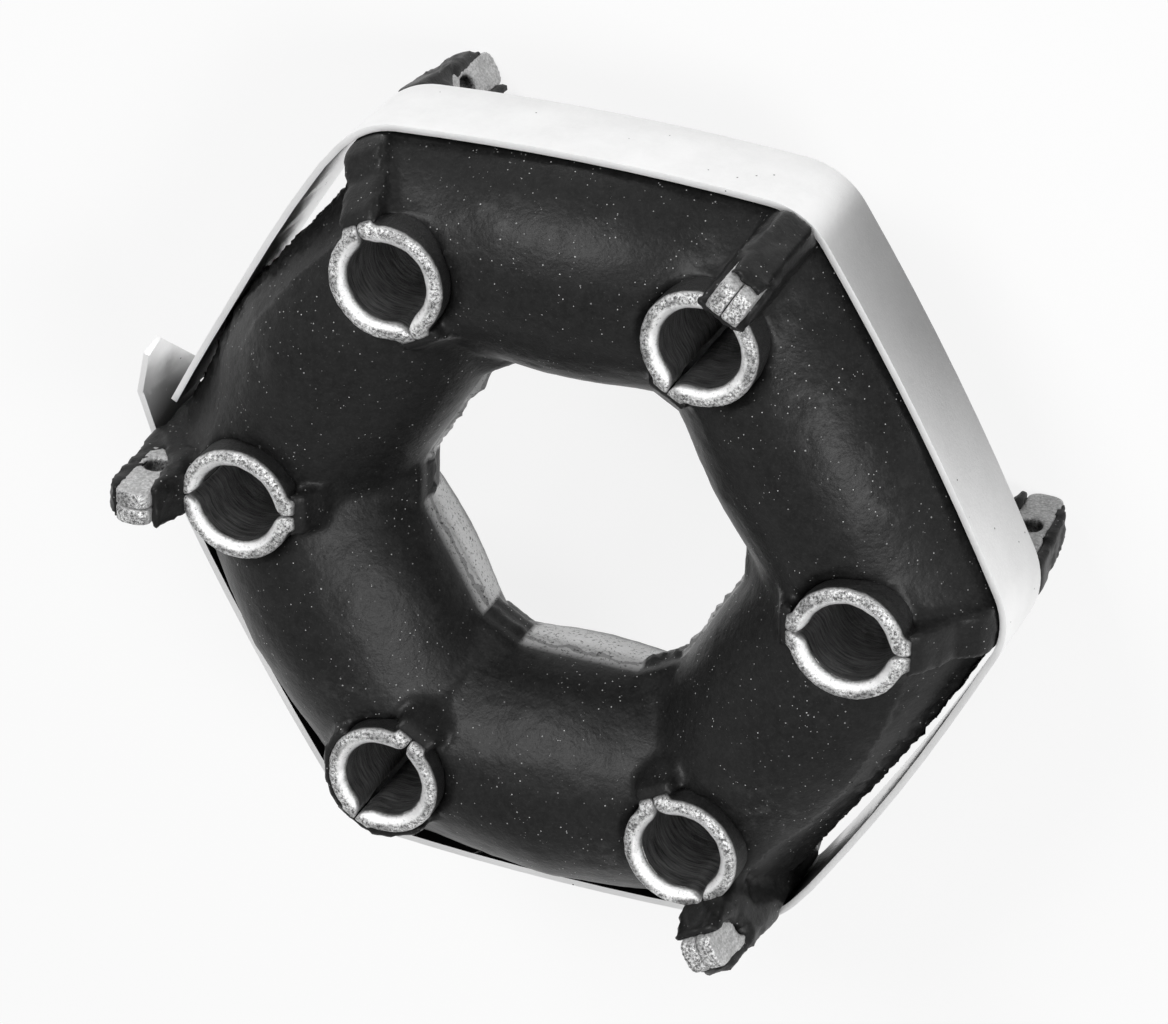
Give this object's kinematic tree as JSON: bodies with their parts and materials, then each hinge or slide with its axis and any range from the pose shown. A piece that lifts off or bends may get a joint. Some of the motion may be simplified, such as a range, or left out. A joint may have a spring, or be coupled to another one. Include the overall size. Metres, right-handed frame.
{
  "type": "driveshaft flex disc",
  "caption": "Hexagonal rubber shaft coupling disc with bonded split steel bolt sleeves and a steel strip wrapped round its edge.",
  "frame": {"origin": "centre of the bolt circle, halfway through the thickness of the disc", "axes": "+Z along the disc axis, out of the front face; +X through the first bolt eye"},
  "size_m": [0.1353, 0.1194, 0.0564],
  "materials": {
    "rubber": "worn moulded rubber, satin, with dust and flash",
    "band_steel": "rolled strip, mottled",
    "insert_steel": "sheared and pressed sheet, scratched"
  },
  "bodies": {
    "root": {"rubber_body": "rubber", "steel_band": "band_steel", "insert_1_left": "insert_steel", "insert_1_right": "insert_steel", "insert_2_left": "insert_steel", "insert_2_right": "insert_steel", "insert_3_left": "insert_steel", "insert_3_right": "insert_steel", "insert_4_left": "insert_steel", "insert_4_right": "insert_steel", "insert_5_left": "insert_steel", "insert_5_right": "insert_steel", "insert_6_left": "insert_steel", "insert_6_right": "insert_steel"}
  },
  "joints": []
}
